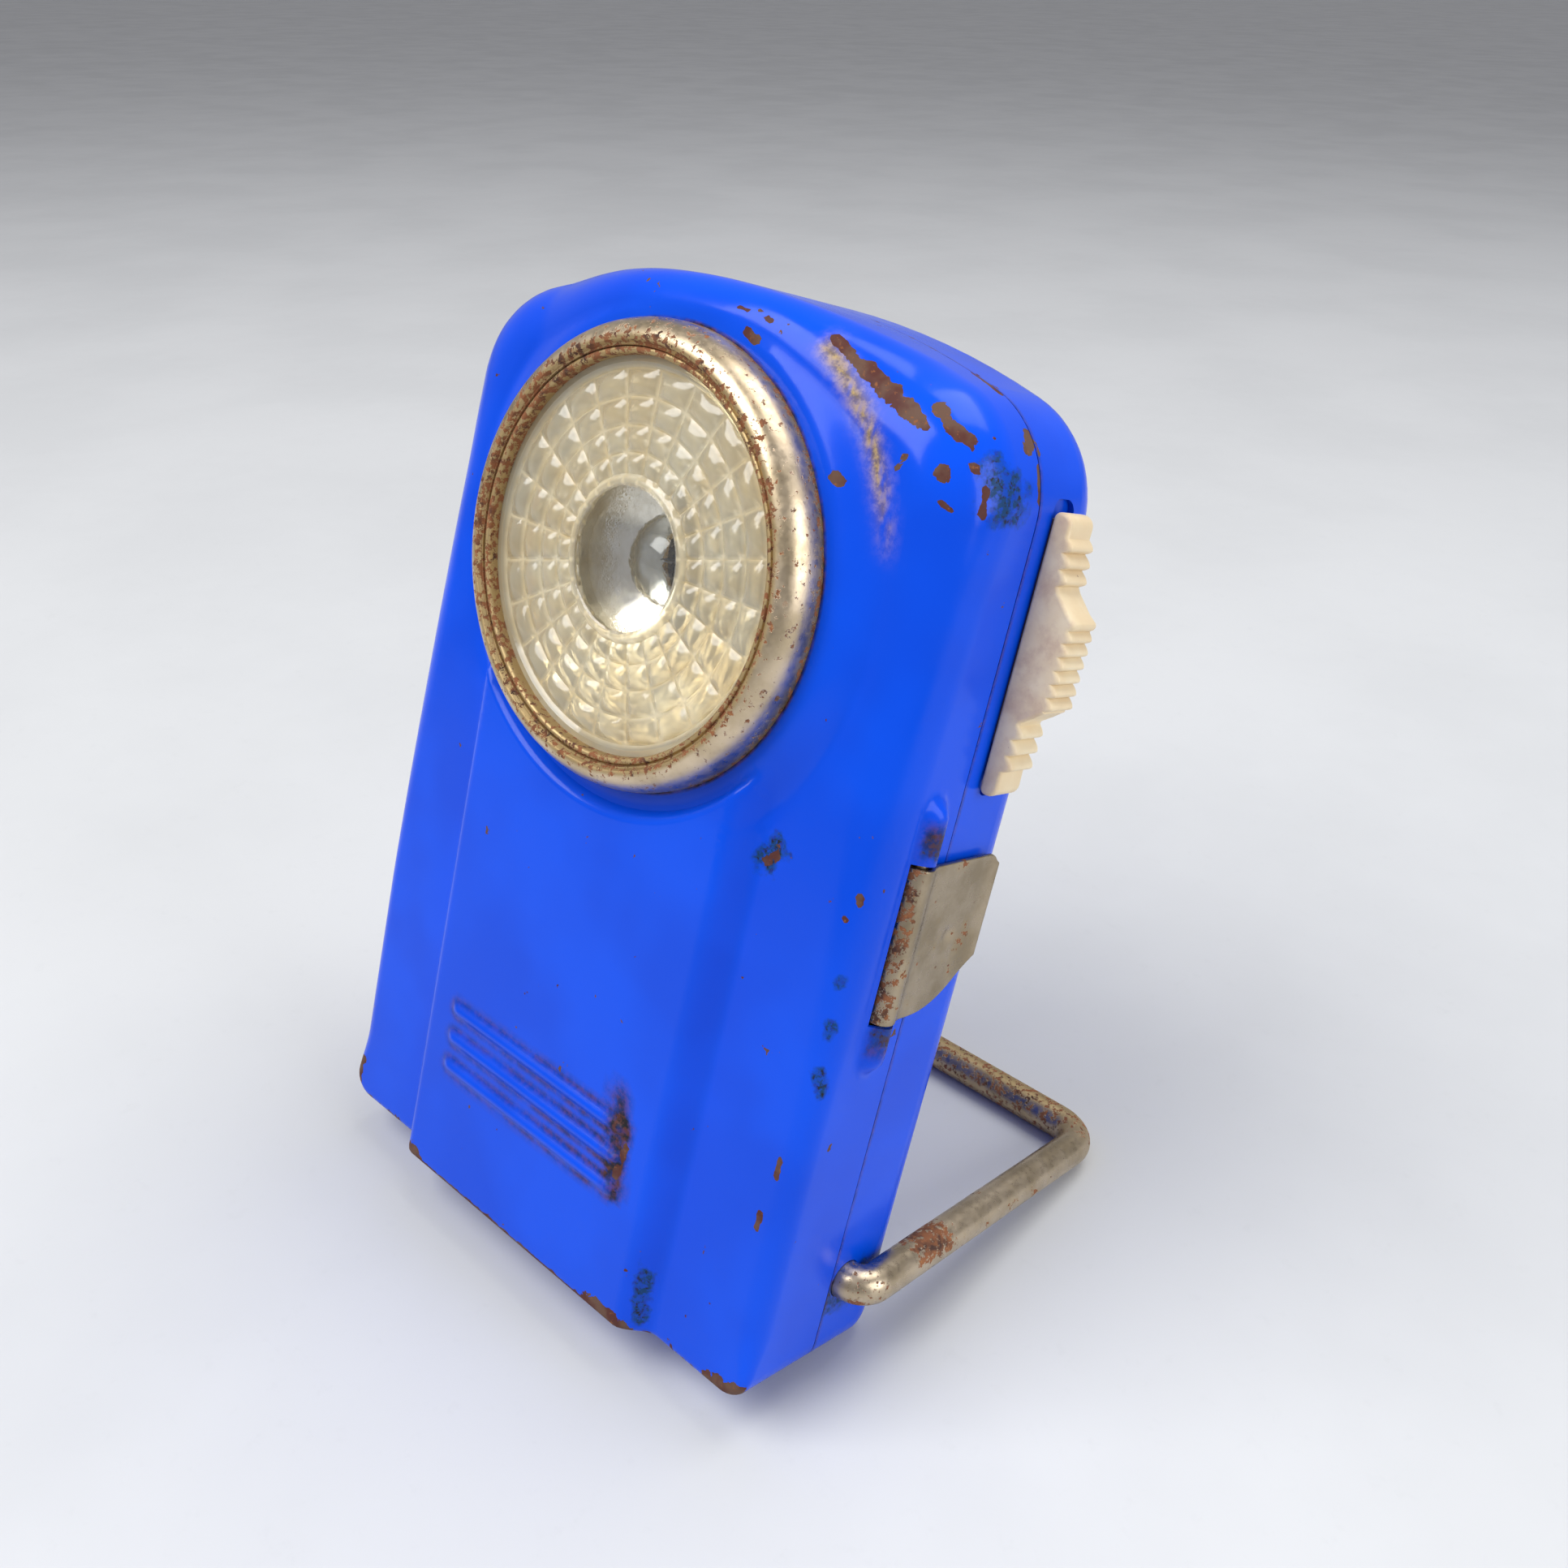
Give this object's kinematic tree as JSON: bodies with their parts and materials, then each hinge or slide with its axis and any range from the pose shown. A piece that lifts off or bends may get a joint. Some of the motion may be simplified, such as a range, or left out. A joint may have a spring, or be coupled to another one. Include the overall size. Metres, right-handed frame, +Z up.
{
  "type": "pocket torch",
  "caption": "Flat pocket torch with a painted sheet-steel case, hinged lens cover, side latch, slide switch and a folding wire stand.",
  "frame": {"origin": "centre of the bounding box in plan, at the surface the torch stands on, in its leaning stance on the open wire stand", "axes": "+X to the right as seen from the lens side, +Y from the lens side to the back, +Z up; the case leans back 17.4 degrees about X"},
  "size_m": [0.0802, 0.0658, 0.1071],
  "materials": {
    "case_paint": "gloss",
    "nickel_trim": "satin",
    "stand_steel": "satin",
    "plain_steel": "satin",
    "lens_clear": "gloss",
    "reflector_metal": "polished",
    "bulb_clear": "gloss",
    "brass": "satin",
    "black_insulator": "gloss",
    "solder": "satin",
    "lamp_wire": "satin",
    "ivory_plastic": "satin",
    "fibre_board": "matte",
    "battery_card": "matte",
    "battery_pitch": "matte"
  },
  "bodies": {
    "rear_body": {"rear_case": "case_paint", "case_hinge_leaf": "plain_steel", "hinge_pin": "plain_steel", "battery_case": "battery_card", "battery_seal": "battery_pitch", "battery_short_contact": "brass", "battery_long_contact": "brass", "contact_board": "fibre_board", "board_clips": "plain_steel", "strip_rivets": "brass", "lamp_strip": "brass", "switch_strip": "brass"},
    "front_cover": {"front_case": "case_paint", "bezel_ring": "nickel_trim", "lens": "lens_clear", "lens_retaining_ring": "plain_steel", "reflector": "reflector_metal", "lamp_holder": "brass", "bulb_glass": "bulb_clear", "bulb_cap": "brass", "bulb_insulator": "black_insulator", "bulb_tip_contact": "solder", "bulb_stem": "bulb_clear", "bulb_lead_wires": "lamp_wire", "bulb_filament": "lamp_wire", "cover_hinge_leaf": "plain_steel", "latch_pin": "plain_steel"},
    "latch": {"side_latch": "nickel_trim"},
    "slider": {"switch_slider": "ivory_plastic", "slider_rivet": "plain_steel", "slider_spring_plate": "brass"},
    "stand": {"stand_wire": "stand_steel"}
  },
  "joints": [
    {"name": "cover_hinge", "type": "hinge", "parent": "rear_body", "child": "front_cover", "pos_m": [-0.0374, -0.00369, 0.05493], "axis": [0, -0.2985, -0.9544], "range_deg": [0, 95]},
    {"name": "latch_swing", "type": "hinge", "parent": "front_cover", "child": "latch", "pos_m": [0.0345, -0.00864, 0.05292], "axis": [0, -0.2985, -0.9544], "range_deg": [0, 110]},
    {"name": "switch_slide", "type": "slide", "parent": "rear_body", "child": "slider", "axis": [0, -0.2985, -0.9544], "range_m": [0, 0.005]},
    {"name": "stand_pivot", "type": "hinge", "parent": "rear_body", "child": "stand", "pos_m": [-0.0005, -0.01453, 0.0118], "axis": [1, 0, 0], "range_deg": [-95.3, 69.5]}
  ]
}
